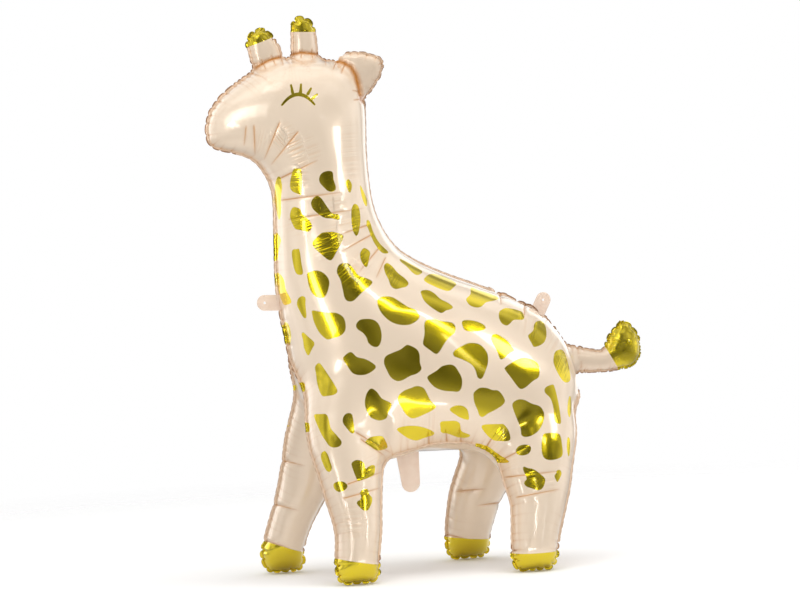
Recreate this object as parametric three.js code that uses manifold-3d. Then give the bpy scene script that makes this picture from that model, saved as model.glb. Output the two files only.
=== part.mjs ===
// A standing giraffe foil balloon: one inflated film envelope on four splayed legs, with two
// stub horns, a folded ear and a tail with a tuft, a filling valve under the belly and two
// punched hanging tabs in the seam. Millimetres, +Z up, head towards -X, left side towards -Y.
import * as THREE from "three";
import { mergeVertices } from "three/addons/utils/BufferGeometryUtils.js";
import Module from "manifold-3d";

const wasm = await Module();
wasm.setup();

// Driving dimensions.
const FIGURE_HEIGHT = 1000; // sole to horn tip
const SHEET_HEIGHT = 1000; // the same in the drawing that the outlines below are read from
const SHEET_TURN = 1.6; // degrees that the drawing turns forward to bring the soles level
const SHEET_FLOOR = 11.5; // height of the floor in the turned drawing
const FOOT_SPREAD = 145; // middle of a sole from the middle plane
const LEG_CHAMBER_DEPTH = 41; // half the depth of a leg across, at mid shin
const SOLE_HALF_DEPTH = 13; // half the depth of the flattened sole
const HORN_HALF_DEPTH = 16;
const EAR_HALF_DEPTH = 15;
const EAR_TURN = 22; // degrees that the ear folds towards the left side
const TAIL_HALF_DEPTH = 17;
const TUFT_HALF_DEPTH = 25;
const FILM_THICKNESS = 1.2; // welded layers of a tab or of the valve sleeve
const TAB_LENGTH = 33;
const TAB_WIDTH = 28;
const TAB_HOLE_RADIUS = 2.25;
const TAB_ROOT = 14; // run of a tab towards the seam before it is cut to the envelope
const VALVE_LENGTH = 76;
const VALVE_ROOT_WIDTH = 43;
const VALVE_END_WIDTH = 34;
const VALVE_ROOT = 20;
const FIT_GAP = 0.3; // clearance between a film piece and the envelope

// Fullness of a chamber's section: 2 is an ellipse, more is fuller next to the seam.
const SECTION_POWER = 2.15;
const TORSO_SIDES = 32;
const LEG_SIDES = 24;
const SMALL_SIDES = 16;

// The drawing, side view, in sheet units. A torso station runs from the underside rail to the
// back rail: [low x, low z, high x, high z, half depth]. Muzzle first, rump last.
const MUZZLE_TIP = [-387, 811];
const RUMP_END = [279, 292];
const TORSO_STATIONS = [
  [-382, 786, -379, 838, 22],
  [-370, 777, -361, 863, 38],
  [-348, 772, -334, 886, 53],
  [-320, 765, -300, 909, 66],
  [-298, 753, -262, 926, 75],
  [-283, 733, -206, 932, 82],
  [-273, 714, -150, 926, 85],
  [-268, 696, -111, 892, 84],
  [-266, 674, -101, 838, 81],
  [-266, 650, -101, 777, 79],
  [-266, 620, -96, 703, 80],
  [-266, 586, -82, 645, 86],
  [-266, 545, -44, 588, 97],
  [-261, 492, 28, 550, 112],
  [-250, 430, 94, 526, 125],
  [-237, 360, 152, 504, 131],
  [-205, 285, 198, 484, 133],
  [-132, 238, 230, 463, 132],
  [-40, 226, 254, 436, 130],
  [50, 227, 271, 402, 125],
  [130, 227, 281, 366, 112],
  [200, 238, 284, 334, 82],
  [252, 264, 283, 309, 42],
];

// A leg station, in standing units: [height, mean x, stride, half length, share of the foot
// spread, share of depth]. The left leg stands one stride behind the mean, the right leg one
// stride before it. The upper stations widen inside the torso, so that the leg grows out of it.
const FRONT_LEG = [
  [9, -197, 34, 36, 0.99, 0.55],
  [24, -198, 35, 37, 0.97, 0.8],
  [45, -198, 35, 37, 0.94, 0.94],
  [92, -187, 31, 39, 0.88, 1.0],
  [145, -177, 19, 47, 0.79, 1.09],
  [197, -168, 10, 59, 0.7, 1.18],
  [250, -160, 3, 70, 0.57, 1.3],
  [305, -140, 0, 82, 0.39, 1.52],
  [360, -118, 0, 90, 0.25, 1.95],
  [405, -100, 0, 58, 0.2, 1.7],
];
const FRONT_LEG_ENDS = { sole: [-197, 34, 31], top: [-95, 430] };
const REAR_LEG = [
  [9, 140, 19, 38, 0.99, 0.55],
  [24, 140, 20, 40, 0.97, 0.8],
  [45, 141, 21, 41, 0.94, 0.94],
  [72, 146, 21, 44, 0.9, 1.0],
  [123, 158, 21, 51, 0.82, 1.07],
  [178, 174, 8, 67, 0.71, 1.18],
  [235, 188, 3, 76, 0.58, 1.3],
  [295, 188, 0, 80, 0.39, 1.52],
  [350, 170, 0, 92, 0.25, 1.95],
  [395, 152, 0, 58, 0.2, 1.7],
];
const REAR_LEG_ENDS = { sole: [140, 19, 33], top: [148, 420] };

// Flat chambers in the middle plane, as torso stations: [one edge x, z, other edge x, z, share
// of the chamber's half depth], from inside the envelope to the tip.
const FRONT_HORN = {
  root: [-268, 900],
  stations: [
    [-296, 905, -245, 918, 0.9],
    [-303, 933, -252, 951, 1],
    [-309, 955, -266, 971, 0.95],
    [-309, 970, -274, 982, 0.72],
    [-301, 980, -283, 986, 0.34],
  ],
  tip: [-293, 985],
};
const REAR_HORN = {
  root: [-207, 902],
  stations: [
    [-234, 912, -181, 912, 0.9],
    [-230, 940, -184, 941, 1],
    [-228, 972, -187, 972, 0.95],
    [-228, 991, -192, 991, 0.72],
    [-219, 1002, -201, 1002, 0.34],
  ],
  tip: [-210, 1006],
};
const EAR = {
  root: [-152, 870],
  stations: [
    [-175, 915, -122, 850, 0.75],
    [-141, 944, -93, 871, 1],
    [-115, 946, -82, 889, 1],
    [-92, 943, -73, 906, 0.74],
    [-75, 939, -67, 922, 0.4],
  ],
  tip: [-66, 934],
};
const TAIL = {
  root: [240, 386],
  stations: [
    [262, 362, 262, 412, 1],
    [290, 364, 290, 407, 1],
    [320, 364, 318, 400, 0.94],
    [350, 365, 342, 398, 0.94],
    [372, 367, 351, 406, 1.18],
    [397, 371, 353, 420, 1.42],
    [411, 386, 360, 429, 1.42],
    [414, 408, 368, 437, 1.16],
    [408, 431, 374, 444, 0.66],
    [394, 447, 375, 451, 0.26],
  ],
  tip: [380, 455],
};

const CHEST_TAB_AT = { x: -270, z: 500, lean: 178 }; // degrees, the way the tab points out
const RUMP_TAB_AT = { x: 222, z: 478, lean: 62 };
const VALVE_AT = { x: -42, y: -34, z: 232, lean: 4 };

const sheet = FIGURE_HEIGHT / SHEET_HEIGHT;

// Catmull-Rom interpolation of whole rows of numbers, so rails and depths stay in step.
function smoothRows(rows, stepsBetween) {
  const at = (i) => rows[Math.min(Math.max(i, 0), rows.length - 1)];
  const made = [];
  for (let i = 0; i < rows.length - 1; i++)
    for (let j = 0; j < stepsBetween; j++) {
      const t = j / stepsBetween;
      made.push(
        rows[i].map((_, k) => {
          const [a, b, c, d] = [at(i - 1)[k], at(i)[k], at(i + 1)[k], at(i + 2)[k]];
          return (
            b +
            0.5 * t * (c - a + t * (2 * a - 5 * b + 4 * c - d + t * (3 * (b - c) + d - a)))
          );
        }),
      );
    }
  made.push(rows[rows.length - 1]);
  return made;
}

const fuller = (v) => Math.sign(v) * Math.abs(v) ** (2 / SECTION_POWER);

// A ring of points round a centre: `along` is half the section's length, `deep` half its depth.
function sectionRing(centre, along, deep, sides) {
  const ring = [];
  for (let k = 0; k < sides; k++) {
    const turn = (2 * Math.PI * k) / sides;
    ring.push(
      centre
        .clone()
        .addScaledVector(along, fuller(Math.cos(turn)))
        .addScaledVector(deep, fuller(Math.sin(turn))),
    );
  }
  return ring;
}

// A closed skin over a row of rings, drawn together to a point at each end.
function skinOver(rings, startPoint, endPoint) {
  const sides = rings[0].length;
  const points = [startPoint, ...rings.flat(), endPoint];
  const last = points.length - 1;
  const index = [];
  const at = (ring, k) => 1 + ring * sides + (k % sides);
  for (let k = 0; k < sides; k++) {
    index.push(0, at(0, k + 1), at(0, k));
    index.push(last, at(rings.length - 1, k), at(rings.length - 1, k + 1));
    for (let r = 0; r < rings.length - 1; r++) {
      index.push(at(r, k), at(r, k + 1), at(r + 1, k));
      index.push(at(r, k + 1), at(r + 1, k + 1), at(r + 1, k));
    }
  }
  const skin = new THREE.BufferGeometry().setFromPoints(points);
  skin.setIndex(index);
  return skin;
}

// A three.js geometry as a manifold solid, with its faces out.
function solidOf(geometry) {
  const bare = geometry.clone();
  bare.deleteAttribute("normal");
  bare.deleteAttribute("uv");
  const merged = mergeVertices(bare, 1e-3);
  const build = (triVerts) =>
    new wasm.Manifold(
      new wasm.Mesh({
        numProp: 3,
        vertProperties: merged.attributes.position.array,
        triVerts,
      }),
    );
  const faces = new Uint32Array(merged.index.array);
  const made = build(faces);
  return made.volume() > 0 ? made : build(faces.slice().reverse());
}

function geometryOf(solid) {
  const mesh = solid.getMesh();
  const geometry = new THREE.BufferGeometry();
  geometry.setAttribute("position", new THREE.BufferAttribute(mesh.vertProperties, 3));
  geometry.setIndex(new THREE.BufferAttribute(mesh.triVerts, 1));
  const flat = geometry.toNonIndexed();
  flat.computeVertexNormals();
  return flat;
}

const forward = THREE.MathUtils.degToRad(SHEET_TURN);

// A point of the drawing, stood on the floor in the middle plane.
function side([x, z]) {
  const along = x * Math.cos(forward) + z * Math.sin(forward);
  const up = z * Math.cos(forward) - x * Math.sin(forward) - SHEET_FLOOR;
  return new THREE.Vector3(along * sheet, 0, up * sheet);
}

// A chamber between two rails in the middle plane, such as the torso, a horn or the tail.
function railChamber(start, stations, end, depthUnit, stepsBetween, sides) {
  const rings = smoothRows(stations, stepsBetween).map(([x1, z1, x2, z2, depth]) => {
    const low = side([x1, z1]);
    const high = side([x2, z2]);
    const along = high.clone().sub(low).multiplyScalar(0.5);
    const centre = low.clone().add(high).multiplyScalar(0.5);
    return sectionRing(centre, along, new THREE.Vector3(0, depth * depthUnit, 0), sides);
  });
  return skinOver(rings, side(start), side(end));
}

// One leg: level sections from a flattened sole up into the torso.
function legChamber(stations, ends, hand) {
  const rows = stations.map(([height, x, stride, half, spread, depth]) => [
    height * sheet,
    (x - hand * stride) * sheet,
    half * sheet,
    hand * spread * FOOT_SPREAD,
    depth * LEG_CHAMBER_DEPTH,
  ]);
  const [soleX, soleStride, soleHalf] = ends.sole;
  const soleCentre = (soleX - hand * soleStride) * sheet;
  const sole = [0, soleCentre, soleHalf * sheet, hand * FOOT_SPREAD, SOLE_HALF_DEPTH];
  const rings = smoothRows([sole, ...rows], 2).map(([z, x, half, y, depth]) =>
    sectionRing(
      new THREE.Vector3(x, y, z),
      new THREE.Vector3(half, 0, 0),
      new THREE.Vector3(0, depth, 0),
      LEG_SIDES,
    ),
  );
  const [topX, topZ] = ends.top;
  const top = new THREE.Vector3(topX * sheet, rows[rows.length - 1][3], topZ * sheet);
  return skinOver(rings, new THREE.Vector3(soleCentre, hand * FOOT_SPREAD, 0), top);
}

// The ear, folded about the line where it leaves the head.
function earChamber() {
  const flat = railChamber(EAR.root, EAR.stations, EAR.tip, EAR_HALF_DEPTH, 2, SMALL_SIDES);
  const [x1, z1, x2, z2] = EAR.stations[0];
  const hinge = side([x1, z1]);
  const foldLine = hinge.clone().sub(side([x2, z2])).normalize();
  const fold = new THREE.Matrix4()
    .makeTranslation(hinge.x, hinge.y, hinge.z)
    .multiply(
      new THREE.Matrix4().makeRotationAxis(foldLine, THREE.MathUtils.degToRad(-EAR_TURN)),
    )
    .multiply(new THREE.Matrix4().makeTranslation(-hinge.x, -hinge.y, -hinge.z));
  return flat.applyMatrix4(fold);
}

// The whole inflated envelope is one welded film skin, so it is one solid.
function envelope() {
  const chambers = [
    railChamber(MUZZLE_TIP, TORSO_STATIONS, RUMP_END, sheet, 2, TORSO_SIDES),
    railChamber(TAIL.root, TAIL.stations, TAIL.tip, TAIL_HALF_DEPTH, 2, SMALL_SIDES),
    earChamber(),
  ];
  for (const horn of [FRONT_HORN, REAR_HORN])
    chambers.push(
      railChamber(horn.root, horn.stations, horn.tip, HORN_HALF_DEPTH, 2, SMALL_SIDES),
    );
  for (const hand of [-1, 1]) {
    chambers.push(legChamber(FRONT_LEG, FRONT_LEG_ENDS, hand));
    chambers.push(legChamber(REAR_LEG, REAR_LEG_ENDS, hand));
  }
  return chambers.map(solidOf).reduce((whole, chamber) => whole.add(chamber));
}

// A film piece drawn in its own plane (x out of the envelope, y across it), stood in the side
// view's plane at `at`, then cut back to the envelope with the fit gap.
function filmPiece(outline, at, body) {
  const blank = new THREE.ExtrudeGeometry(outline, {
    depth: FILM_THICKNESS,
    bevelEnabled: false,
    curveSegments: 12,
  });
  blank.translate(0, 0, -FILM_THICKNESS / 2);
  blank.rotateX(Math.PI / 2);
  blank.rotateY(-THREE.MathUtils.degToRad(at.lean));
  const root = side([at.x, at.z]);
  blank.translate(root.x, (at.y ?? 0) * sheet, root.z);
  const lean = THREE.MathUtils.degToRad(at.lean);
  const clear = body.translate([FIT_GAP * Math.cos(lean), 0, FIT_GAP * Math.sin(lean)]);
  return solidOf(blank).subtract(clear);
}

// A tongue with a round end and a punched hole.
function tabOutline() {
  const radius = TAB_WIDTH / 2;
  const straight = TAB_LENGTH - radius;
  const outline = new THREE.Shape();
  outline.moveTo(-TAB_ROOT, -radius);
  outline.lineTo(straight, -radius);
  outline.absarc(straight, 0, radius, -Math.PI / 2, Math.PI / 2, false);
  outline.lineTo(-TAB_ROOT, radius);
  outline.closePath();
  const hole = new THREE.Path();
  hole.absarc(straight, 0, TAB_HOLE_RADIUS, 0, 2 * Math.PI, true);
  outline.holes.push(hole);
  return outline;
}

// A tapering sleeve with a rounded end.
function valveOutline() {
  const root = VALVE_ROOT_WIDTH / 2;
  const end = VALVE_END_WIDTH / 2;
  const shoulder = VALVE_LENGTH - end;
  const outline = new THREE.Shape();
  outline.moveTo(-VALVE_ROOT, -root);
  outline.lineTo(0, -root);
  outline.lineTo(shoulder, -end);
  outline.absarc(shoulder, 0, end, -Math.PI / 2, Math.PI / 2, false);
  outline.lineTo(0, root);
  outline.lineTo(-VALVE_ROOT, root);
  outline.closePath();
  return outline;
}

const pearlFilm = new THREE.MeshStandardMaterial({
  color: 0xeedcc6,
  roughness: 0.25,
  metalness: 0.45,
});
const plainFilm = new THREE.MeshStandardMaterial({
  color: 0xe6c9ad,
  roughness: 0.35,
  metalness: 0.1,
});

const body = envelope();
const valveLean = { ...VALVE_AT, lean: -90 + VALVE_AT.lean };
const pieces = [
  ["balloon_body", body, pearlFilm],
  ["chest_tab", filmPiece(tabOutline(), CHEST_TAB_AT, body), plainFilm],
  ["rump_tab", filmPiece(tabOutline(), RUMP_TAB_AT, body), plainFilm],
  ["filling_valve", filmPiece(valveOutline(), valveLean, body), plainFilm],
];

const giraffe = new THREE.Group();
for (const [name, solid, film] of pieces) {
  const mesh = new THREE.Mesh(geometryOf(solid), film);
  mesh.name = name;
  giraffe.add(mesh);
}

// The origin is the middle of the box's underside.
const box = new THREE.Box3().setFromObject(giraffe);
const middle = box.getCenter(new THREE.Vector3());
giraffe.position.set(-middle.x, -middle.y, -box.min.z);

export default giraffe;
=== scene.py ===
import math
import random

import bmesh
import bpy
import numpy as np
from mathutils import Matrix, Vector
from mathutils.kdtree import KDTree


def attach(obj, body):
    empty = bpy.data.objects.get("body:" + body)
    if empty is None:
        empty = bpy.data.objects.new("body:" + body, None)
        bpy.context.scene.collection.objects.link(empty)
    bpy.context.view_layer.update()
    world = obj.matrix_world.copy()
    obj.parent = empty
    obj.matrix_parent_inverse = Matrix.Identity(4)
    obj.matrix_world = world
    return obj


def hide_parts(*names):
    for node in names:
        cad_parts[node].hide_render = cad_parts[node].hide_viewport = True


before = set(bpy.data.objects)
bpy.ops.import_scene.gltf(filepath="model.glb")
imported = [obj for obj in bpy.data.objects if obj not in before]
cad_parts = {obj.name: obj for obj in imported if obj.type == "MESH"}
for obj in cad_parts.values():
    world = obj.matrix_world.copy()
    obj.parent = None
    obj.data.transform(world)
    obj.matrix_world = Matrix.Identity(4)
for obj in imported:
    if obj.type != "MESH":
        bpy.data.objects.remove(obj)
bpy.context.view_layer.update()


# The photographer's place. The print, the folds and the camera all use this one view of the
# balloon, 15 degrees ahead of its left side, so that they line up with the photograph.
VIEW_TARGET = Vector((-0.0565, 0.0, 0.4896))
VIEW_PLACE = Vector((-1.350, -4.830, 0.5255))
VIEW_ROLL = math.radians(2.75)
VIEW_LENS = 125.0
VIEW_SENSOR = 36.0
PHOTO_WIDE = 800
PHOTO_HIGH = 600
PIXEL = 0.0018
MM = 1000

view_ahead = (VIEW_TARGET - VIEW_PLACE).normalized()
view_across = view_ahead.cross(Vector((0, 0, 1))).normalized()
view_up = view_across.cross(view_ahead)
view_turn = Matrix((view_across, view_up, -view_ahead)).transposed()
view_turn = view_turn @ Matrix.Rotation(-VIEW_ROLL, 3, "Z")


def photo_place(points):
    """Where points of the balloon fall in the photograph, in its pixels."""
    seen = (points - np.array(VIEW_PLACE)) @ np.array(view_turn)
    scale = VIEW_LENS / VIEW_SENSOR * PHOTO_WIDE / -seen[:, 2]
    return PHOTO_WIDE / 2 + seen[:, 0] * scale, PHOTO_HIGH / 2 - seen[:, 1] * scale


# The inflated envelope. The real one is metallised polyester film, cut flat as a left panel, a
# right panel and a gusset between the legs, welded along its edges and filled with gas until it
# is taut. It starts from the solid, with the corners where chambers meet eased as film eases them.
SKIN_MESH = 0.0065
SAME_PLACE = 1e-5
TINY = 1e-9
THIGH_EASE = 30
FILM_EASE = 54
LIMB_EASE = 14
DRAW_IN = (0.5,)
KEEP_FULL = (0.5, -0.53)
ARCH_AT = (
    -0.127, -0.120, -0.112, -0.100, -0.071, -0.046, -0.034, 0.030, 0.048, 0.069, 0.083, 0.092, 0.100
)
ARCH_DROP = (0, 0.044, 0.042, 0.034, 0.022, 0.009, 0, 0, 0.010, 0.028, 0.042, 0.048, 0)
ARCH_SIDE = 0.082
ARCH_WIDE = 0.034

# Where soft edges start and end, in x for a name with BACK and in height for the others.
ARCH_LOW = (0.19, 0.215)
ARCH_HIGH = (0.25, 0.31)
THIGH_LOW = (0.14, 0.2)
THIGH_HIGH = (0.4, 0.47)
THIGH_BACK = (0.22, 0.25)
HORN_LOW = (0.9, 0.925)
TAIL_BACK = (0.24, 0.262)
TAIL_LOW = (0.33, 0.35)
EAR_BACK = (-0.165, -0.15)
EAR_LOW = (0.82, 0.84)
SHIN_HIGH = (0.16, 0.24)


def ramp(value, start, end):
    """From 0 at start to 1 at end, with soft ends."""
    t = np.clip((value - start) / (end - start), 0, 1)
    return t * t * (3 - 2 * t)


def read_points(mesh):
    points = np.empty(len(mesh.vertices) * 3)
    mesh.vertices.foreach_get("co", points)
    return points.reshape(-1, 3)


def write_points(mesh, points):
    mesh.vertices.foreach_set("co", points.ravel())
    mesh.update()


def read_normals(mesh):
    normals = np.empty(len(mesh.vertices) * 3)
    mesh.vertex_normals.foreach_get("vector", normals)
    return normals.reshape(-1, 3)


def put_in_scene(name, data):
    piece = bpy.data.objects.new(name, data)
    bpy.context.scene.collection.objects.link(piece)
    return piece


def finish_modifiers(piece):
    """Makes a piece's modifiers part of its mesh."""
    graph = bpy.context.evaluated_depsgraph_get()
    mesh = bpy.data.meshes.new_from_object(piece.evaluated_get(graph))
    piece.modifiers.clear()
    piece.data = mesh


def even_mesh(piece):
    """Gives a piece one closed mesh of even faces."""
    remesh = piece.modifiers.new("even", "REMESH")
    remesh.mode = "VOXEL"
    remesh.voxel_size = SKIN_MESH
    finish_modifiers(piece)


def ease(mesh, passes, pull, steps):
    """Draws each vertex towards its neighbours' middle. A second step back keeps the volume."""
    points = read_points(mesh)
    ends = np.empty(len(mesh.edges) * 2, dtype=np.int64)
    mesh.edges.foreach_get("vertices", ends)
    count = np.bincount(ends, minlength=len(points))
    a, b = ends.reshape(-1, 2).T
    for _ in range(passes):
        for step in steps:
            sums = [
                np.bincount(a, points[b, k], len(points)) + np.bincount(b, points[a, k], len(points))
                for k in range(3)
            ]
            middle = np.stack(sums, axis=1) / count[:, None]
            points += (step * pull)[:, None] * (middle - points)
    write_points(mesh, points)


skin = put_in_scene("film_skin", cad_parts["balloon_body"].data.copy())
skin.data.materials.clear()
bm = bmesh.new()
bm.from_mesh(skin.data)
bmesh.ops.remove_doubles(bm, verts=bm.verts, dist=SAME_PLACE)
bm.to_mesh(skin.data)
bm.free()
even_mesh(skin)

points = read_points(skin.data)
x, y, z = points.T
drop = np.interp(x, ARCH_AT, ARCH_DROP) * np.exp(-(((np.abs(y) - ARCH_SIDE) / ARCH_WIDE) ** 2))
points[:, 2] -= drop * (1 - ramp(z, *ARCH_HIGH)) * ramp(z, *ARCH_LOW)
write_points(skin.data, points)
even_mesh(skin)

x, y, z = read_points(skin.data).T
thighs = ramp(z, *THIGH_LOW) * (1 - ramp(z, *THIGH_HIGH)) * (1 - ramp(x, *THIGH_BACK))
ease(skin.data, THIGH_EASE, thighs, DRAW_IN)
x, y, z = read_points(skin.data).T
trim = np.maximum(ramp(z, *HORN_LOW), ramp(x, *TAIL_BACK) * ramp(z, *TAIL_LOW))
trim = np.maximum(trim, ramp(x, *EAR_BACK) * ramp(z, *EAR_LOW))
slim = np.maximum(trim, 1 - ramp(z, *SHIN_HIGH))
ease(skin.data, FILM_EASE, 1 - slim, KEEP_FULL)
ease(skin.data, LIMB_EASE, np.ones(len(x)), KEEP_FULL)
smooth = skin.modifiers.new("smooth", "SUBSURF")
smooth.levels = smooth.render_levels = 1
finish_modifiers(skin)


# The seams. The left and right panels meet along the middle of the head, neck, back and rump.
# From the chest and the rump down, each panel meets the gusset instead, along its own legs.
# The ear folds to the left, and its seam folds with it. Hooves end in a weld that meets the floor.
FOOT_SPREAD = 0.145
FORK_HEIGHT = 0.4
FORK_POWER = 1.63
TAIL_SEAM_BACK = (0.236, 0.262)
TAIL_SEAM_LOW = (0.29, 0.33)
EAR_HINGE = (-0.180, 0.908)
EAR_OUT = (0.775, 0.632)
EAR_FOLD = math.tan(math.radians(22))
EAR_SEAM_BACK = (-0.152, -0.132)
EAR_SEAM_LOW = (0.7, 0.8)
MARGIN = 0.0044
SOLE_LIFT = 0.0066
SOLE_HIGH = 0.06
HORN_SPLIT = 281
HORN_RISE = 0.004
HORN_TIP_LOW = (0.945, 0.985)
SNAP = 0.0009
LEFT, GUSSET, RIGHT = 0, 1, 2


def leg_gap(x, z):
    """How far a leg's seam stands from the middle plane. The tail's seam stays in that plane."""
    tail = ramp(x, *TAIL_SEAM_BACK) * ramp(z, *TAIL_SEAM_LOW)
    return FOOT_SPREAD * (1 - np.clip(z / FORK_HEIGHT, 0, 1) ** FORK_POWER) * (1 - tail)


def seam_plane(points, hand):
    """How far points lie to the right of the seam surface of one hand's legs."""
    x, y, z = points.T
    out = (x - EAR_HINGE[0]) * EAR_OUT[0] + (z - EAR_HINGE[1]) * EAR_OUT[1]
    ear = -EAR_FOLD * np.clip(out, 0, None) * ramp(x, *EAR_SEAM_BACK) * ramp(z, *EAR_SEAM_LOW)
    return y - hand * leg_gap(x, z) - ear


def mirrored(points):
    return points * np.array((1, -1, 1))


def in_photo(points):
    """Where points fall in the photograph, the right side's as if they were on the left."""
    left, right = photo_place(points), photo_place(mirrored(points))
    far_side = seam_plane(points, 1) > 0
    return np.where(far_side, right[0], left[0]), np.where(far_side, right[1], left[1])


def back_to_skin(bm):
    """Puts an edited mesh back on the skin, in faces of three or four corners."""
    bmesh.ops.triangulate(bm, faces=[face for face in bm.faces if len(face.verts) > 4])
    bm.to_mesh(skin.data)
    bm.free()


points = read_points(skin.data)
points[:, 2] += SOLE_LIFT * (1 - ramp(points[:, 2], 0, SOLE_HIGH))
rear_horn = photo_place(points)[0] > HORN_SPLIT
points[:, 2] += HORN_RISE * ramp(points[:, 2], *HORN_TIP_LOW) * rear_horn
write_points(skin.data, points)

for hand in (-1, 1):
    points = read_points(skin.data)
    shift = points[:, 1] - seam_plane(points, hand)
    bm = bmesh.new()
    bm.from_mesh(skin.data)
    bm.verts.ensure_lookup_table()
    apart = bm.verts.layers.float.new("apart")
    for vert, away in zip(bm.verts, shift):
        vert[apart] = away
        vert.co.y -= away
    bmesh.ops.bisect_plane(
        bm,
        geom=bm.verts[:] + bm.edges[:] + bm.faces[:],
        dist=SNAP,
        plane_co=(0, 0, 0),
        plane_no=(0, 1, 0),
        use_snap_center=True,
    )
    for vert in bm.verts:
        vert.co.y += vert[apart]
    bm.verts.layers.float.remove(apart)
    back_to_skin(bm)

middles = np.empty(len(skin.data.polygons) * 3)
skin.data.polygons.foreach_get("center", middles)
middles = middles.reshape(-1, 3)
past_right = np.where(seam_plane(middles, 1) > 0, RIGHT, GUSSET)
panel_of = np.where(seam_plane(middles, -1) < 0, LEFT, past_right)
for _ in (LEFT, GUSSET, RIGHT):
    skin.data.materials.append(None)
skin.data.polygons.foreach_set("material_index", panel_of.astype(np.int32))


# Pulled folds. Where the film turns a hollow corner, at the throat, the nape and the tops of the
# legs, it is drawn into straight shallow folds that run in from the seam. Each is read off the
# photograph in its pixels: from the seam end to the inner end, and how deep it is in millimetres.
FOLDS = [
    (254, 127, 255, 156, 0.9), (279, 124, 264, 160, 1.0), (297, 133, 271, 165, 1.1),
    (246, 128, 244, 146, 0.5), (281, 178, 318, 160, 1.1), (283, 200, 344, 192, 1.0),
    (291, 219, 364, 208, 1.0), (368, 225, 341, 234, 1.0), (371, 235, 340, 252, 0.9),
    (379, 248, 359, 272, 0.8), (385, 259, 376, 278, 0.5), (362, 440, 385, 456, 1.2),
    (348, 484, 382, 472, 1.1), (345, 498, 380, 488, 0.9), (357, 433, 391, 453, 1.0),
    (429, 443, 429, 430, 1.0), (447, 443, 446, 428, 1.0), (461, 442, 460, 426, 1.0),
    (485, 449, 500, 426, 1.2), (501, 460, 531, 445, 1.1), (507, 477, 561, 471, 1.0),
    (518, 497, 560, 489, 0.9), (500, 292, 501, 305, 1.3), (525, 301, 524, 319, 1.8),
    (551, 312, 545, 323, 1.3), (302, 51, 301, 59, 0.9), (312, 51, 313, 60, 0.9),
    (262, 61, 266, 70, 0.9), (272, 57, 276, 66, 0.9), (281, 55, 283, 66, 0.7),
    (325, 57, 326, 66, 0.8), (337, 60, 333, 70, 1.2), (346, 62, 341, 74, 1.1),
    (361, 92, 352, 90, 1.0), (362, 99, 353, 100, 1.0),
]
FAR_FOLDS = [
    (274, 459, 306, 466, 3.0), (269, 503, 300, 511, 3.0), (262, 540, 292, 549, 2.6),
    (460, 491, 487, 489, 3.0), (501, 503, 476, 506, 3.0), (448, 535, 470, 540, 2.0),
]
ROOTS = [
    ((336, 60), (344, 62.5), (351, 67), (356, 75), (359, 85), (361, 95), (363, 101), 2.6, 2.2),
    ((256, 67.5), (264, 62.5), (272, 59), (281, 57), 1.5, 1.5),
    ((292, 54.5), (300, 52.5), (308, 53), (323, 55), 1.5, 1.5),
]
FOLD_NEAR = 3.2
FOLD_BEFORE = 2
FOLD_AFTER = 1
EYE_BOX = (277, 81, 321, 108)
SEAM_NEAR = 0.009
FINE_EASE = 3


def fold_places(px, py, fold):
    """How far along a fold and to one side of it places are, and the fold's length, in pixels."""
    x1, y1, x2, y2, _ = fold
    long = math.hypot(x2 - x1, y2 - y1)
    u = ((px - x1) * (x2 - x1) + (py - y1) * (y2 - y1)) / long
    v = ((px - x1) * (y2 - y1) - (py - y1) * (x2 - x1)) / long
    return u, v, long


# Fine work needs a finer mesh, so the skin is divided beside the seams, along folds and at the eye.
points = read_points(skin.data)
px, py = in_photo(points)
fine = np.minimum(np.abs(seam_plane(points, -1)), np.abs(seam_plane(points, 1))) < SEAM_NEAR
fine |= (px > EYE_BOX[0]) & (px < EYE_BOX[2]) & (py > EYE_BOX[1]) & (py < EYE_BOX[3])
for fold in FOLDS:
    u, v, long = fold_places(px, py, fold)
    fine |= (u > -FOLD_BEFORE) & (u < long + FOLD_AFTER) & (np.abs(v) < FOLD_NEAR)
bm = bmesh.new()
bm.from_mesh(skin.data)
bm.verts.ensure_lookup_table()
cuts = [edge for edge in bm.edges if fine[edge.verts[0].index] and fine[edge.verts[1].index]]
bmesh.ops.subdivide_edges(bm, edges=cuts, cuts=1, use_grid_fill=True)
back_to_skin(bm)
ease(skin.data, FINE_EASE, np.ones(len(skin.data.vertices)), KEEP_FULL)


# Along each seam the film is gathered, because the flat edge is too long for the filled shape.
# Where the outline curves tightly the gathers pinch the weld into scallops. A region is a box in
# the photograph, then the gathers' spacing, depth and length in from the seam, in millimetres.
GATHERS = [
    (240, 20, 280, 44, 17, 3.6, 4.5), (284, 4, 324, 31, 20, 5.0, 5), (350, 42, 390, 106, 14, 0.9, 6),
    (234, 42, 284, 60, 12, 0.4, 6), (286, 31, 330, 52, 12, 0.4, 6),
    (222, 44, 352, 84, 9, 1.5, 34), (195, 76, 236, 158, 17, 1.7, 16), (266, 306, 300, 384, 15, 1.0, 12),
    (494, 280, 556, 330, 40, 6.5, 22), (550, 310, 582, 392, 13, 1.6, 14), (572, 330, 606, 378, 13, 1.1, 7),
    (603, 308, 646, 372, 15, 2.2, 10),
]
HOOF_GATHER = (15, 3.0, 14)
HOOF_HIGH = 0.048
PLAIN_GATHER = (15, 0.35, 20)
GATHER_VARY = (0.45, 1.1)
PITCH_VARY = (0.8, 1.25)
REACH_SHARE = 0.6
DEEPEST = 3.4
SEAM_STEP = 0.002
CLEFT_FADE = 1.5
CLEFT_WIDE = 1.3
CLEFT_WIDENS = 60
LOBE_SHARE = 0.55
LOBE_LEVEL = 0.4
LOBE_FADE = 1.2
RIDGE_RISE = 0.0008
RIDGE_REACH = 0.0045
LEAN = 0.0017
LEAN_LEAST = 0.15
PINCH_TAKES = 0.4
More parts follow.
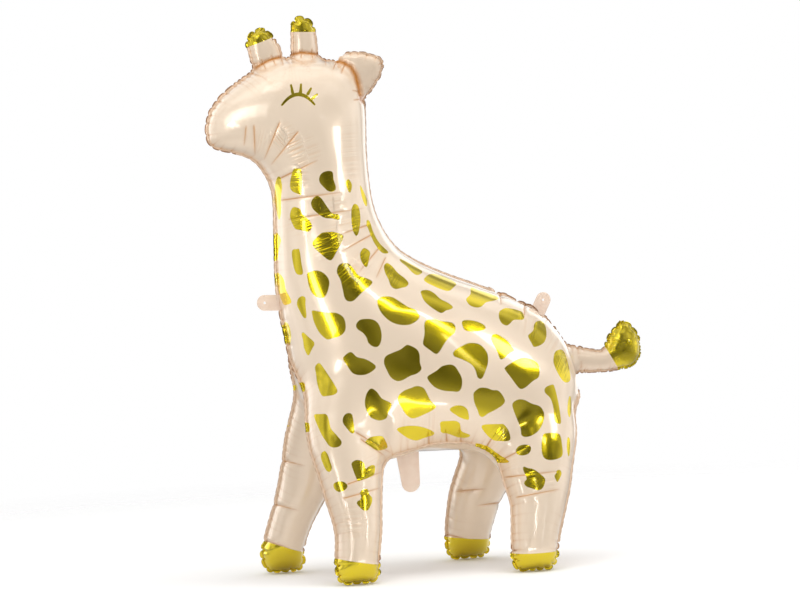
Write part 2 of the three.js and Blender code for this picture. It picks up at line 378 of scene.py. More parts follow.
PINCH_WIDE = 2
random.seed(7)


def seam_run(hand):
    """The vertices of one panel's edge in order, right round the panel."""
    panels = np.empty(len(skin.data.polygons), dtype=np.int32)
    skin.data.polygons.foreach_get("material_index", panels)
    sides = {}
    for face in skin.data.polygons:
        for key in face.edge_keys:
            sides.setdefault(key, []).append(panels[face.index] == hand)
    beside = {}
    for (a, b), pair in sides.items():
        if len(pair) == 2 and pair[0] != pair[1]:
            beside.setdefault(a, []).append(b)
            beside.setdefault(b, []).append(a)
    left = set(beside)
    longest = []
    while left:
        chain = [min(left)]
        left.discard(chain[0])
        while True:
            free = [v for v in beside[chain[-1]] if v in left]
            if not free:
                break
            chain.append(free[0])
            left.discard(free[0])
        if len(chain) > len(longest):
            longest = chain
    return longest


def even_run(run):
    """A seam's points at even steps."""
    closed = points[run + run[:1]]
    steps = np.linalg.norm(np.diff(closed, axis=0), axis=1)
    reach = np.concatenate([[0], np.cumsum(steps)])
    even = np.arange(0, reach[-1], SEAM_STEP)
    return np.stack([np.interp(even, reach, closed[:, k]) for k in range(3)], axis=1)


points = read_points(skin.data)
normals = read_normals(skin.data)
left_seam = even_run(seam_run(LEFT))
right_seam = even_run(seam_run(RIGHT))
seam = np.concatenate([left_seam, right_seam[right_seam[:, 2] < FORK_HEIGHT]])
tree = KDTree(len(seam))
for index, place in enumerate(seam):
    tree.insert(place, index)
tree.balance()
nearest = np.array([tree.find(point)[1] for point in points])
ahead = np.roll(seam, -1, 0) - np.roll(seam, 1, 0)
ahead /= np.linalg.norm(ahead, axis=1)[:, None] + TINY
apart = points - seam[nearest]
slip = (apart * ahead[nearest]).sum(axis=1)
run_at = nearest * SEAM_STEP + slip
seam_away = np.sqrt(np.clip((apart**2).sum(axis=1) - slip**2, 0, None))

lefts = len(left_seam)
seam_px, seam_py = photo_place(np.concatenate([seam[:lefts], mirrored(seam[lefts:])]))
gather = np.tile(np.array(PLAIN_GATHER, dtype=float), (len(seam), 1))
for x1, y1, x2, y2, *sizes in reversed(GATHERS):
    inside = (seam_px > x1) & (seam_px < x2) & (seam_py > y1) & (seam_py < y2)
    gather[inside] = sizes
gather[seam[:, 2] < HOOF_HIGH] = HOOF_GATHER
pinches = [0.0]
while pinches[-1] < len(seam) * SEAM_STEP:
    pitch = gather[min(int(pinches[-1] / SEAM_STEP), len(seam) - 1), 0]
    pinches.append(pinches[-1] + pitch / MM * random.uniform(*PITCH_VARY))
pinch_vary = np.array([random.uniform(*GATHER_VARY) for _ in pinches])
pinches = np.array(pinches)

after = np.clip(np.searchsorted(pinches, run_at), 1, len(pinches) - 1)
before = after - 1
across = (run_at - pinches[before]) / (pinches[after] - pinches[before])
hump = 4 * across * (1 - across)
closest = np.where(across < 0.5, before, after)
pinch_off = (run_at - pinches[closest]) * MM
pinch_at = np.clip((pinches / SEAM_STEP).astype(int), 0, len(seam) - 1)
deep = gather[pinch_at, 1][closest] * pinch_vary[closest]
reach = gather[pinch_at, 2][closest] * (REACH_SHARE + REACH_SHARE * pinch_vary[closest]) / MM
cleft = deep * np.exp(-np.abs(pinch_off) / (CLEFT_WIDE + CLEFT_WIDENS * seam_away))
cleft *= np.exp(-((seam_away / reach) ** CLEFT_FADE))
lobes = LOBE_SHARE * deep * (hump - LOBE_LEVEL) * np.exp(-((seam_away / reach) ** LOBE_FADE))
ridge = RIDGE_RISE * np.exp(-seam_away / RIDGE_REACH)
lift = ridge + (lobes - cleft) / MM
tight = np.clip(gather[nearest, 1] / DEEPEST, 0, 1)
lean = np.where(before % 2 == 0, 1, -1) * LEAN * (LEAN_LEAST + tight) * hump
margin = MARGIN * (1 - PINCH_TAKES * tight * np.exp(-np.abs(pinch_off) / PINCH_WIDE))


# Creases. Each fold is a valley with low shoulders, and the bottom of every valley and gather is
# a sharp darker line of painted shade. The finish draws that line from how far off it is and how
# strong it is.
FOLD_START = (-3, 1)
FOLD_WIDE = 1.1
SHOULDER = 0.25
SHOULDER_OFF = 3
SHOULDER_WIDE = 1.6
FAR_START = (-6, 0)
FAR_WIDE = 2.2
FAR_HIGH = 0.3
LINE_NEAR = 2.6
LINE_LEAST = 0.6
LINE_GAIN = 0.3
GATHER_LINE_NEAR = 5
GATHER_LINE_REACH = 1.1
ROOT_LINE = 1.1


def keep_stronger(off, deep, new_off, new_deep):
    """Of two creases at each place, the one that is stronger there."""
    stronger = new_deep > deep
    return np.where(stronger, new_off, off), np.where(stronger, new_deep, deep)


def stroke_edge(px, py, start, end, start_half, end_half):
    """How far places are outside a round-ended stroke, in pixels."""
    dx, dy = end[0] - start[0], end[1] - start[1]
    t = np.clip(((px - start[0]) * dx + (py - start[1]) * dy) / (dx * dx + dy * dy), 0, 1)
    gap = np.hypot(px - start[0] - t * dx, py - start[1] - t * dy)
    return gap - (start_half + (end_half - start_half) * t)


px, py = in_photo(points)
plain_px, plain_py = photo_place(points)
on_panel = (seam_plane(points, -1) <= SNAP) | (seam_plane(points, 1) >= -SNAP)
crease_off = pinch_off
crease_deep = np.sqrt(np.clip(deep, 0, None) / DEEPEST)
crease_deep *= np.exp(-((seam_away / reach / GATHER_LINE_REACH) ** CLEFT_FADE))
crease_deep *= np.clip(1 - np.abs(pinch_off) / GATHER_LINE_NEAR, 0, 1)
for fold in FOLDS:
    u, v, long = fold_places(px, py, fold)
    along = np.clip(1 - (u / long) ** 2, 0, 1) * ramp(u, *FOLD_START) * on_panel
    shoulders = SHOULDER * np.exp(-(((np.abs(v) - SHOULDER_OFF) / SHOULDER_WIDE) ** 2))
    lift -= fold[4] / MM * along * (np.exp(-np.abs(v) / FOLD_WIDE) - shoulders)
    strong = np.sqrt(along) * np.clip(1 - np.abs(v) / LINE_NEAR, 0, 1)
    strong *= min(1, LINE_LEAST + LINE_GAIN * fold[4])
    crease_off, crease_deep = keep_stronger(crease_off, crease_deep, v * PIXEL * MM, strong)

far_leg = (points[:, 1] > 0) & (points[:, 2] < FAR_HIGH)
for fold in FAR_FOLDS:
    u, v, long = fold_places(plain_px, plain_py, fold)
    along = np.clip(1 - (u / long) ** 2, 0, 1) * ramp(u, *FAR_START) * far_leg
    lift -= fold[4] / MM * along * np.exp(-np.abs(v) / FAR_WIDE)
    strong = along * np.clip(1 - np.abs(v) / LINE_NEAR, 0, 1)
    crease_off, crease_deep = keep_stronger(crease_off, crease_deep, v * PIXEL * MM, strong)

# The ear and horns are chambers of the same film, and a broad valley marks where each one starts.
# A wide line of painted shade runs along each valley.
for *way, depth, half_wide in ROOTS:
    gap = np.min([stroke_edge(px, py, a, b, 0, 0) for a, b in zip(way, way[1:])], axis=0)
    lift -= depth / MM * np.exp(-((gap / half_wide) ** 2)) * on_panel
    strong = np.clip(ROOT_LINE - gap / half_wide / 2, 0, 1) * on_panel
    crease_off, crease_deep = keep_stronger(crease_off, crease_deep, gap / half_wide / 2, strong)


# Crimps. Between the long folds the taut film carries packed fine ripples that lie across its
# pull. A patch is its middle in the photograph, its half sizes along and across the ripples,
# how its ripples tilt from level in degrees, and how strong it is.
# The finish also darkens the ripples' valleys with painted shade.
CRIMPS = [
    (262, 141, 12, 9, 75, 0.6), (283, 139, 12, 12, 128, 1.2), (294, 146, 9, 22, 25, 1.7),
    (312, 150, 8, 16, 20, 0.7), (298, 177, 10, 12, 5, 1.0), (350, 155, 9, 34, 5, 0.5),
    (335, 203, 12, 9, 10, 0.9), (300, 224, 14, 10, 20, 0.8), (327, 246, 16, 12, 18, 1.0),
    (345, 225, 18, 8, 15, 0.7), (352, 272, 16, 11, 40, 1.0), (362, 262, 10, 12, 45, 0.7),
    (385, 272, 12, 9, 55, 0.6), (396, 280, 14, 9, 60, 0.5), (300, 190, 12, 8, 4, 0.6),
    (352, 520, 14, 22, 5, 0.6), (376, 462, 12, 12, 30, 0.5), (350, 495, 10, 10, 12, 0.4),
    (512, 468, 12, 10, 10, 0.6), (550, 486, 10, 8, 8, 0.5), (498, 440, 10, 12, 50, 0.7),
    (562, 366, 10, 14, 70, 0.7), (530, 325, 12, 10, 80, 0.6), (556, 345, 10, 12, 60, 0.6),
    (430, 430, 30, 7, 88, 0.5), (405, 434, 20, 6, 85, 0.6),
]
PATCH_FULL = 1.4
PATCH_EDGE = 0.2
PATCH_PART = 3
crimp_at = py * PIXEL * MM
crimp_deep = np.zeros(len(points))
next_deep = np.zeros(len(points))
for mx, my, half_long, half_wide, tilt, strength in CRIMPS:
    c, s = math.cos(math.radians(tilt)), math.sin(math.radians(tilt))
    u = (px - mx) * c - (py - my) * s
    v = (px - mx) * s + (py - my) * c
    patch = PATCH_FULL * np.exp(-((u / half_long) ** 2) - (v / half_wide) ** 2) - PATCH_EDGE
    strong = strength * np.clip(patch, 0, 1) * on_panel
    next_deep = np.maximum(next_deep, np.minimum(crimp_deep, strong))
    crimp_at, crimp_deep = keep_stronger(crimp_at, crimp_deep, v * PIXEL * MM, strong)
crimp_deep *= np.clip(PATCH_PART * (1 - next_deep / (crimp_deep + TINY)), 0, 1)


# The gold print. Mirror gold is left bare where the pearl cream isn't printed: coat marks on both
# sides, a closed eye with lashes, the horn tips, the tail's tuft and the hooves. Each mark is the
# corners of its outline, x and y in pixels of the photograph, and its edge runs smoothly by them.
MARKS = [
    (277, 178, 280, 177, 282, 186, 281, 199, 281, 213, 279, 220, 277, 213, 275, 199, 275, 186),
    (294, 169, 301, 170, 302, 182, 301.5, 194, 297, 193.5, 292, 191, 290, 186, 291, 177),
    (327, 171, 332.5, 172, 333.5, 179, 336, 188, 333, 191.5, 328, 191, 323.5, 187, 319.5, 182, 319.5, 177,
     322, 173),
    (348.5, 179, 352, 185, 350, 193, 347, 188, 346, 182),
    (360, 185, 363.5, 191, 367, 200, 366.5, 206.5, 363.5, 202, 361, 193),
    (316, 196, 321, 198, 327, 206.5, 332, 213, 338, 214, 340, 217, 339, 220, 332, 218.5, 325, 218,
     319, 214.5, 313, 209, 311, 202),
    (294, 207, 300, 209, 302.5, 214.5, 309, 220, 312, 225.5, 310, 231, 306, 231.5, 300, 230, 295.5, 229,
     292.5, 224, 290, 217, 291, 210),
    (354, 204, 358.5, 206.5, 360.5, 218.5, 359, 231, 356.5, 236, 353, 231, 351.5, 221.5, 351.5, 210),
    (367, 220, 370, 222, 373.5, 232.5, 379.5, 243, 388, 251.5, 386.5, 253.5, 381, 252, 374, 242.5, 369, 231,
     366.5, 224),
    (276.5, 232.5, 281, 239.5, 279.5, 246.5, 277.5, 258.5, 276, 259.5, 275.5, 245),
    (327, 232, 334.5, 232, 343, 235.5, 341.5, 242.5, 337, 251, 332.5, 259, 328.5, 260, 322, 255, 314.5, 248,
     312.5, 242.5, 317, 237, 321.5, 233),
    (292, 251, 297, 249, 299.5, 250, 301.5, 263.5, 303, 273, 300, 275, 296, 273, 293, 263.5),
    (365, 248, 370, 252, 369, 259, 367.5, 266, 365.5, 267, 361.5, 261.5, 360, 254.5, 362, 249.5),
    (308, 272.5, 316.5, 270.5, 323.5, 273, 329, 280, 328.5, 288.5, 325, 296.5, 319, 298, 312, 293,
     308.5, 284.5, 307, 274.5),
    (344, 263, 348.5, 263.5, 353.5, 268.5, 359, 275.5, 368.5, 279, 372.5, 282.5, 368.5, 287, 361.5, 293,
     354.5, 300, 349.5, 301.5, 345, 298.5, 342.5, 288.5, 340.5, 280, 337, 273, 337.5, 267.5, 340, 264),
    (387, 263, 392, 266, 398, 273, 404.5, 278, 408.5, 283, 406.5, 286.5, 401, 288, 395.5, 289, 391, 286,
     388.5, 279.5, 385, 272.5, 384, 266),
    (277, 273, 280.5, 274.5, 284, 280, 286, 290, 290.5, 298.5, 291, 303, 285.5, 305, 283, 303.5, 279.5, 294,
     277.5, 283),
    (400, 259, 408, 262.5, 422, 271, 418, 275, 413, 273, 406, 266, 401, 262),
    (302, 296, 305.5, 298, 305.5, 305, 306.5, 317, 303.5, 317.5, 300, 311.5, 297, 305, 298, 299),
    (312.5, 310.5, 320, 311.5, 329, 312.5, 336.5, 313, 343, 317, 345.5, 323.5, 345, 331, 340, 336, 333, 338,
     327.5, 339.5, 322.5, 336, 318, 330.5, 314, 322, 312, 313.5),
    (364, 319, 372.5, 319.5, 378.5, 324, 381.5, 333, 381, 341.5, 378, 346.5, 373, 346.5, 368.5, 343,
     366.5, 337.5, 363, 333, 357.5, 329, 356, 325, 359, 320.5),
    (378, 299, 383.5, 296.5, 392, 297, 399, 301, 407.5, 306.5, 415.5, 310, 419.5, 316, 417, 320.5,
     410, 324.5, 401.5, 325, 393.5, 323, 386.5, 318.5, 380.5, 311.5, 377.5, 304),
    (421, 291, 427.5, 290, 434, 293, 440.5, 299, 447.5, 302.5, 453, 307, 450, 309.5, 446, 310.5, 441.5, 313,
     436, 310.5, 429, 305.5, 424, 300.5, 421.5, 295),
    (425, 321.5, 434, 319, 440.5, 321, 451.5, 322.5, 455.5, 327, 454.5, 333, 449, 337.5, 444.5, 343.5,
     439.5, 351.5, 436, 354, 430.5, 350.5, 424, 345.5, 423, 342, 424.5, 334),
    (462, 321.5, 467.5, 320, 477, 321.5, 484, 325, 485.5, 328.5, 481, 330.5, 472.5, 331.5, 465.5, 330.5,
     463, 327),
    (286, 322, 289, 325.5, 291, 334.5, 290.5, 343, 289, 345, 286, 339, 284, 330.5, 284, 324),
    (303.5, 332.5, 308.5, 337, 314.5, 343, 312, 349, 309, 355, 307, 354.5, 304, 347.5, 303, 340,
     301.5, 334),
    (351, 352, 357, 357, 365, 359, 372.5, 363, 376, 367, 372.5, 371, 366, 374.5, 358, 375, 352, 372.5,
     347, 365.5, 343, 359, 345.5, 355),
    (408.5, 345, 416.5, 349, 419.5, 354.5, 420, 363, 421.5, 369, 417, 373.5, 410, 376, 403, 380, 397, 381,
     391, 377.5, 387, 370.5, 384, 363, 385.5, 356.5, 392, 353, 400.5, 349.5, 405, 346),
    (319.5, 363, 323, 367, 329, 376, 334.5, 384.5, 337.5, 391, 334.5, 394.5, 327.5, 396, 322.5, 396,
     319.5, 391, 317, 382.5, 316, 374, 315, 367.5, 317, 364),
    (441.5, 366.5, 449, 364.5, 454.5, 366, 458.5, 371.5, 462, 379, 461.5, 387.5, 458.5, 391.5, 453, 391.5,
     443, 390.5, 434.5, 387, 428.5, 380.5, 427.5, 376.5, 432, 373.5, 437.5, 370),
    (453, 353, 456.5, 349, 463, 345.5, 469, 343, 477, 343.5, 483, 347, 487.5, 354, 488, 362.5, 486, 369.5,
     483, 377, 480.5, 379, 477.5, 377, 475.5, 370.5, 472, 365, 465.5, 361, 458.5, 358, 454.5, 356.5),
    (371.5, 388.5, 377, 392, 382, 398.5, 391, 403, 391, 406.5, 388.5, 412, 386.5, 418, 380.5, 420.5,
     375, 419.5, 369.5, 416, 365.5, 407.5, 365, 399.5, 367.5, 392),
    (417, 386, 423.5, 388, 427, 393.5, 430.5, 400.5, 436, 406.5, 432, 410.5, 424, 414.5, 415.5, 418,
     411, 418, 406, 414.5, 401.5, 407.5, 398, 400.5, 399, 395, 404.5, 390.5, 411, 388),
    (302, 382, 305, 384.5, 305, 392, 303.5, 401.5, 301.5, 400, 299, 395, 298.5, 389.5, 300.5, 384.5),
    (314.5, 414.5, 320.5, 414, 326.5, 414.5, 329, 420.5, 331, 428.5, 337, 435.5, 341.5, 441.5, 340.5, 445.5,
     336, 447.5, 330, 446.5, 326, 441.5, 321.5, 434.5, 317, 424.5, 314.5, 418),
    (348.5, 413, 352, 414.5, 353.5, 421.5, 354.5, 432.5, 351, 433, 347, 428.5, 343, 423, 343, 418,
     345, 414.5),
    (306.5, 423, 309, 423, 310, 427.5, 309, 432, 307, 430, 305.5, 426),
    (365.5, 441.5, 371, 437, 381.5, 436, 385, 440, 387.5, 447, 382, 450, 376.5, 450, 371, 446.5,
     366.5, 443.5),
    (398, 428, 406, 426, 417, 426, 427, 428.5, 433.5, 432, 433.5, 435, 424, 438, 416.5, 440.5, 408.5, 438.5,
     401, 433.5, 397, 430),
    (450, 408.5, 456, 405.5, 463, 406, 467.5, 410, 469, 419, 465.5, 419.5, 460, 417.5, 456, 415,
     451, 411.5),
    (440.5, 422, 447.5, 421, 456, 421, 460, 424, 461.5, 431, 470, 435, 467, 437.5, 458.5, 437.5, 449, 434,
     441.5, 432.5, 440.5, 427.5),
    (424, 279, 430, 274, 439, 275, 447.5, 278, 456, 283.5, 453, 288, 448.5, 291, 441.5, 289.5, 433.5, 286,
     426.5, 282.5),
    (471, 287.5, 478, 290, 488, 293, 496.5, 296.5, 498.5, 299, 492.5, 301, 486, 302.5, 481.5, 306.5,
     477, 307.5, 471, 306, 467, 302, 466.5, 298.5, 470.5, 294),
    (500.5, 310.5, 505.5, 308, 513.5, 309, 521, 311.5, 524, 315, 523, 319.5, 514, 320, 510, 323.5,
     506.5, 325.5, 501.5, 323, 499, 317.5, 499, 313),
    (536.5, 321.5, 541.5, 321, 545, 325, 546.5, 333, 545.5, 340, 541.5, 344.5, 534.5, 347, 532, 344,
     528.5, 337.5, 528.5, 335, 533, 330.5, 534, 325),
    (492.5, 335, 496.5, 334, 501.5, 336.5, 507, 340.5, 512, 347, 514, 350.5, 508.5, 354, 505, 357.5,
     501.5, 359.5, 499.5, 358, 497, 351, 492.5, 342.5, 491, 338.5),
    (520.5, 358, 527.5, 358, 535.5, 361.5, 539, 366.5, 539, 376.5, 533, 381, 526, 387, 521.5, 389, 518, 387,
     512, 379, 505, 369.5, 505.5, 367, 512, 362.5),
    (551.5, 320, 555.5, 322.5, 559.5, 328, 563, 335, 561, 336, 556, 330.5, 552, 324.5),
    (555.5, 351.5, 561, 349.5, 564.5, 352.5, 567.5, 361, 569.5, 369.5, 570.5, 379, 567.5, 382.5, 563, 381,
     558, 373.5, 554, 364.5, 553.5, 358),
    (545.5, 387.5, 552.5, 384.5, 554.5, 387, 557, 396, 559.5, 408.5, 561, 422.5, 558, 423.5, 554.5, 420.5,
     553.5, 408.5, 550.5, 398.5, 545, 392.5),
    (569.5, 396, 571, 398.5, 571, 411.5, 569.5, 417.5, 567.5, 411.5, 568, 401.5),
    (474, 392.5, 479.5, 388, 486.5, 388, 492.5, 390, 498, 390.5, 502, 394.5, 505, 401, 502, 405.5, 495, 410,
     488, 413.5, 483, 417, 479.5, 415.5, 477.5, 410, 474.5, 403, 473.5, 396.5),
    (512.5, 403.5, 518, 399.5, 524.5, 400, 531.5, 403.5, 540, 406.5, 544, 413, 543.5, 421, 539.5, 429.5,
     533, 435, 526, 437, 521.5, 435, 520.5, 428, 517, 419, 513.5, 410),
    (481.5, 427, 485, 424.5, 499.5, 424, 504, 424.5, 508.5, 430.5, 510.5, 438, 508, 441, 500, 441, 493, 440,
     486, 434),
    (475.5, 443.5, 481, 444, 489, 447, 497, 453, 506, 459, 509, 462, 503, 463, 494, 461, 485, 456,
     478, 449),
    (516, 450, 519, 446, 525, 444.5, 530, 446, 531, 450, 528, 454, 522, 455.5, 517, 454),
    (543, 435, 548, 433, 555, 433, 560, 435, 562, 444, 562.5, 455, 557, 459, 549, 460, 543.5, 457,
     541.5, 448),
    (523.5, 466.5, 528, 468, 533, 469, 538, 472, 542, 475.5, 545, 478.5, 545, 482.5, 543, 487.5, 540, 490,
     536.5, 490, 532, 488.5, 526.5, 486.5, 524, 483.5, 524.5, 481.5, 526.5, 479.5, 526, 476, 524, 472,
     523, 468.5),
    (557, 470.5, 560, 470, 561.5, 473, 560.5, 477, 557.5, 482, 556, 480, 554.5, 476, 556, 473.5),
    (568, 437, 570, 440, 570, 452, 568.5, 456.5, 567, 450, 567, 441),
    (321.5, 453, 325, 451, 328, 455, 330, 461, 332, 468, 329.5, 472, 326, 470, 323, 464, 321, 458),
    (353, 461.5, 356.5, 460, 360.5, 460.5, 363.5, 462.5, 364.5, 465.5, 365.5, 469, 368, 467, 372, 465,
     375, 466, 375, 470, 374, 474.5, 369, 477.5, 363.5, 479.5, 358.5, 481, 356.5, 478.5, 354, 472.5,
     352, 466.5, 351.5, 463.5),
    (333.5, 484, 338, 481.5, 344, 482, 347.5, 486, 345, 490, 339, 492, 334.5, 489),
    (363, 489.5, 367.5, 489, 369.5, 494.5, 372, 497.5, 372, 502, 370, 507, 367.5, 510.5, 363, 510,
     359.5, 507, 357, 504, 357, 501.5, 360.5, 499.5, 361, 496, 360, 493, 361.5, 490.5),
]
EDGE_STEPS = 5
MARK_ROOM = 6
LID = ((282, 105), (298, 84), (314.5, 104.5))
LID_HALF_WIDE = (1.0, 1.9)
LID_STEPS = 16
LASHES = [(292.6, 92.6, 291, 85), (300.6, 92, 301, 84.4), (308, 93.7, 311, 88.4), (313, 98, 317, 94.4)]
LASH_HALF_WIDE = (1.6, 1.0)
HORN_TIPS = [((251, 46), (269, 39)), ((293, 32), (313, 32))]
HORNS_OVER = 0.9
TUFT_EDGE = 605.5
TUFT_TURN = 347
TUFT_SLOPE = 0.6
TAIL_FROM = (0.25, 0.3)
HOOF_TOPS = {(-1, -1): (0.040, -0.2), (1, -1): (0.034, 0.0), (-1, 1): (0.046, -0.35), (1, 1): (0.040, -0.1)}
FEET_UNDER = 0.12
FAR_OFF = 9.0


def smooth_outline(corners):
    """A closed outline that passes smoothly by a mark's corners."""
    corner = np.array(corners).reshape(-1, 2)
    before, after, next_after = np.roll(corner, 1, 0), np.roll(corner, -1, 0), np.roll(corner, -2, 0)
    outline = []
    for step in range(EDGE_STEPS):
        t = step / EDGE_STEPS
        bend = 2 * corner + (after - before) * t
        bend += (2 * before - 5 * corner + 4 * after - next_after) * t * t
        bend += (3 * corner - before - 3 * after + next_after) * t**3
        outline.append(bend / 2)
    return np.stack(outline, axis=1).reshape(-1, 2)


def mark_edge(px, py, outline):
    """How far places are outside a closed outline, in pixels."""
    gap = np.full(len(px), FAR_OFF)
    inside = np.zeros(len(px), dtype=bool)
    for (x1, y1), (x2, y2) in zip(outline, np.roll(outline, -1, 0)):
        dx, dy = x2 - x1, y2 - y1
        t = np.clip(((px - x1) * dx + (py - y1) * dy) / (dx * dx + dy * dy + TINY), 0, 1)
        gap = np.minimum(gap, np.hypot(px - x1 - t * dx, py - y1 - t * dy))
        if y1 != y2:
            crossed = ((y1 > py) != (y2 > py)) & (px < dx * (py - y1) / dy + x1)
            inside ^= crossed
    return np.where(inside, -gap, gap)


def lid_place(t):
    return tuple((1 - t) ** 2 * LID[0][k] + 2 * t * (1 - t) * LID[1][k] + t * t * LID[2][k] for k in (0, 1))


def lid_half(t):
    return LID_HALF_WIDE[0] + (LID_HALF_WIDE[1] - LID_HALF_WIDE[0]) * math.sin(math.pi * t)


gilt = np.full(len(points), FAR_OFF)
for corners in MARKS:
    outline = smooth_outline(corners)
    low, high = outline.min(axis=0) - MARK_ROOM, outline.max(axis=0) + MARK_ROOM
    near = (px > low[0]) & (px < high[0]) & (py > low[1]) & (py < high[1])
    gilt[near] = np.minimum(gilt[near], mark_edge(px[near], py[near], outline))
for step in range(LID_STEPS):
    t1, t2 = step / LID_STEPS, (step + 1) / LID_STEPS
    edge = stroke_edge(px, py, lid_place(t1), lid_place(t2), lid_half(t1), lid_half(t2))
    gilt = np.minimum(gilt, edge)
for x1, y1, x2, y2 in LASHES:
    gilt = np.minimum(gilt, stroke_edge(px, py, (x1, y1), (x2, y2), *LASH_HALF_WIDE))
gilt = np.where(on_panel, gilt, FAR_OFF)

x, y, z = points.T
for (x1, y1), (x2, y2) in HORN_TIPS:
    this_horn = (z > HORNS_OVER) & ((plain_px < HORN_SPLIT) == (x1 < HORN_SPLIT))
    horn = plain_py - (y1 + (y2 - y1) / (x2 - x1) * (plain_px - x1))
    gilt = np.where(this_horn, np.minimum(gilt, horn), gilt)
tuft = TUFT_EDGE - plain_px + TUFT_SLOPE * np.clip(plain_py - TUFT_TURN, 0, None)
gilt = np.where((x > TAIL_FROM[0]) & (z > TAIL_FROM[1]), np.minimum(gilt, tuft), gilt)
for (end, hand), (top, slope) in HOOF_TOPS.items():
    foot = (np.sign(x) == end) & (np.sign(y) == hand) & (z < FEET_UNDER)
    hoof = (z - top - slope * (x - x[foot].mean())) / PIXEL
    gilt = np.where(foot, np.minimum(gilt, hoof), gilt)

write_points(skin.data, points + normals * lift[:, None])
weld_out = normals * margin[:, None]
weld_out[:, 1] += lean
for name, values in (
    ("gilt_edge", np.clip(gilt, -FAR_OFF, FAR_OFF) * PIXEL * MM),
    ("seam_run", run_at * MM),
    ("seam_away", seam_away * MM),
    ("tightness", tight),
    ("lobe", tight * hump),
    ("crease_off", crease_off),
    ("crease_deep", crease_deep),
    ("crimp_at", crimp_at),
    ("crimp_deep", crimp_deep),
    ("weld", np.zeros(len(points))),
):
    layer = skin.data.attributes.new(name, "FLOAT", "POINT")
    layer.data.foreach_set("value", np.asarray(values, dtype=np.float32))


# The film's finish. Pearl cream is a satin print over metal, with a clear gloss over it. The bare
# gold is a mirror. All lengths are millimetres. One group makes the relief that is finer than the
# mesh: ripples along the seams, crimps, and the sharp line at the bottom of each crease.
# The group also gives the masks where shade is painted: a brown line at each crease's bottom, a wider band
# beside it, and the crimps' valleys.
FILM_VALUES = {
    "Run": "seam_run",
    "Away": "seam_away",
    "Tightness": "tightness",
    "Crease Off": "crease_off",
    "Crease Deep": "crease_deep",
    "Crimp At": "crimp_at",
    "Crimp Deep": "crimp_deep",
}
RIPPLE_RUN = 0.16
RIPPLE_AWAY = 0.012
RIPPLE_FADE = -0.032
RIPPLE_LEAST = 0.12
RIPPLE_HIGH = 0.45
CRIMP_ACROSS = 0.24
CRIMP_ALONG = 0.01
CRIMP_HIGH = 2.4
CRIMP_SHADE_RANGE = (0.55, 0.38)
LINE_FADE = -0.8
LINE_HIGH = 0.6
HALO_FADE = -0.3
SWELL_SCALE = 9.0
SWELL_HIGH = 1.6
MILLIMETRE = 0.001


def fill(tree, node, inputs):
    """Sets a node's inputs, each to a value or from another node's output."""
    for name, value in inputs.items():
        if isinstance(value, bpy.types.NodeSocket):
            tree.links.new(value, node.inputs[name])
        else:
            node.inputs[name].default_value = value


def add_node(tree, kind, inputs, **choices):
    node = tree.nodes.new("ShaderNode" + kind)
    for name, value in choices.items():
        setattr(node, name, value)
    fill(tree, node, inputs)
    return node


def maths(tree, operation, *values):
    return add_node(tree, "Math", dict(enumerate(values)), operation=operation).outputs[0]


def times(tree, value, *others):
    for other in others:
        value = maths(tree, "MULTIPLY", value, other)
    return value


def fading(tree, value, rate):
    """1 where a value is 0, and less the further it is from 0."""
    return maths(tree, "EXPONENT", times(tree, value, rate))


def noise(tree, place, scale, detail):
    inputs = {"Vector": place, "Scale": scale, "Detail": detail}
    return add_node(tree, "TexNoise", inputs).outputs["Fac"]


def stretched_noise(tree, x, y, detail):
    return noise(tree, add_node(tree, "CombineXYZ", {"X": x, "Y": y}).outputs[0], 1.0, detail)


def remap(tree, value, given, wanted=(0.0, 1.0), curve="LINEAR"):
    """Turns the given range of a value into the wanted one."""
    inputs = {"Value": value, "From Min": given[0], "From Max": given[1]}
    inputs |= {"To Min": wanted[0], "To Max": wanted[1]}
    return add_node(tree, "MapRange", inputs, interpolation_type=curve).outputs[0]


def mix(tree, factor, first, second, kind="RGBA"):
    inputs = {"Factor": factor, "A": first, "B": second}
    return add_node(tree, "Mix", inputs, data_type=kind).outputs["Result"]


def bumped(tree, height):
    return add_node(tree, "Bump", {"Height": height, "Distance": MILLIMETRE}).outputs[0]


def new_material(name):
    material = bpy.data.materials.new(name)
    material.use_nodes = True
    return material, material.node_tree, material.node_tree.nodes["Principled BSDF"]


relief = bpy.data.node_groups.new("film relief", "ShaderNodeTree")
for name in FILM_VALUES:
    relief.interface.new_socket(name, in_out="INPUT", socket_type="NodeSocketFloat")
relief.interface.new_socket("Normal", in_out="OUTPUT", socket_type="NodeSocketVector")
for name in ("Crease", "Crimp", "Crease Shade"):
    relief.interface.new_socket(name, in_out="OUTPUT", socket_type="NodeSocketFloat")
given = relief.nodes.new("NodeGroupInput").outputs
made = relief.nodes.new("NodeGroupOutput")
here = add_node(relief, "TexCoord", {}).outputs["Object"]

ripple_run = times(relief, given["Run"], RIPPLE_RUN)
ripple_away = times(relief, given["Away"], RIPPLE_AWAY)
ripple = stretched_noise(relief, ripple_run, ripple_away, 2.0)
ripple_fade = fading(relief, given["Away"], RIPPLE_FADE)
ripple_deep = maths(relief, "ADD", given["Tightness"], RIPPLE_LEAST)
height = times(relief, ripple, ripple_fade, ripple_deep, RIPPLE_HIGH)

crimp_across = times(relief, given["Crimp At"], CRIMP_ACROSS)
crimp_along = times(relief, given["Run"], CRIMP_ALONG)
crimp = stretched_noise(relief, crimp_across, crimp_along, 1.0)
height = maths(relief, "ADD", height, times(relief, crimp, given["Crimp Deep"], CRIMP_HIGH))

